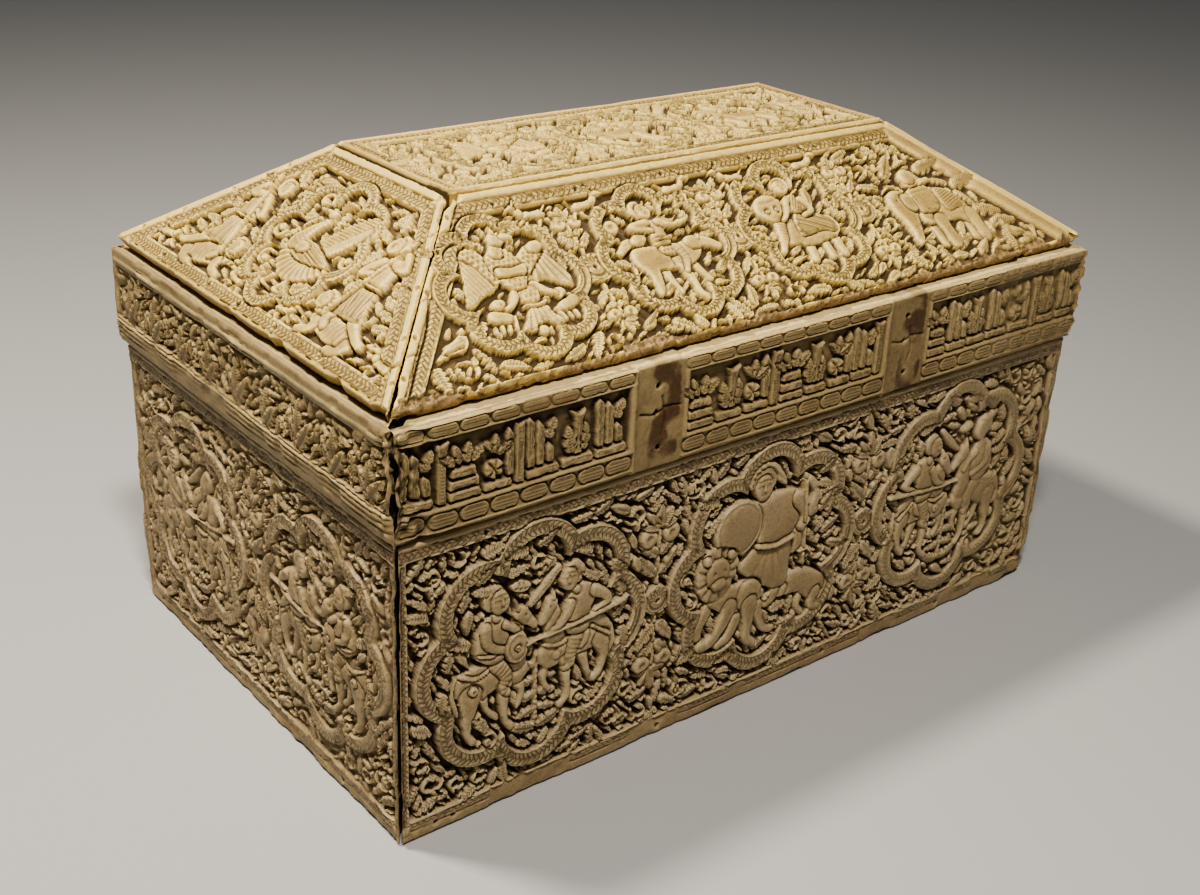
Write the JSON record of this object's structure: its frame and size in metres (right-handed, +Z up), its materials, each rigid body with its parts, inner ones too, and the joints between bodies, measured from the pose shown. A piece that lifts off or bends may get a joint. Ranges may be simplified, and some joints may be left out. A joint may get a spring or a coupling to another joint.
{
  "type": "reliquary casket",
  "caption": "Rectangular carved ivory casket with a hipped lift-off lid, lobed medallions of riders and beasts, and an upright band round the lid.",
  "frame": {"origin": "centre of the underside, on the surface the casket stands on", "axes": "+Z up, +X along the long side, the main front faces -Y"},
  "size_m": [0.384, 0.234, 0.2295],
  "materials": {
    "body_ivory": "worn satin ivory, brown in the hollows",
    "frieze_ivory": "worn satin ivory, stained",
    "lid_ivory": "satin ivory, lighter on the raised faces"
  },
  "bodies": {
    "root": {"body_front_panel": "body_ivory", "body_back_panel": "body_ivory", "body_left_panel": "body_ivory", "body_right_panel": "body_ivory", "body_floor": "body_ivory", "lid_frieze_front": "frieze_ivory", "lid_frieze_back": "frieze_ivory", "lid_frieze_left": "frieze_ivory", "lid_frieze_right": "frieze_ivory", "lid_slope_front": "lid_ivory", "lid_slope_back": "lid_ivory", "lid_slope_left": "lid_ivory", "lid_slope_right": "lid_ivory", "lid_top_panel": "lid_ivory"}
  },
  "joints": []
}
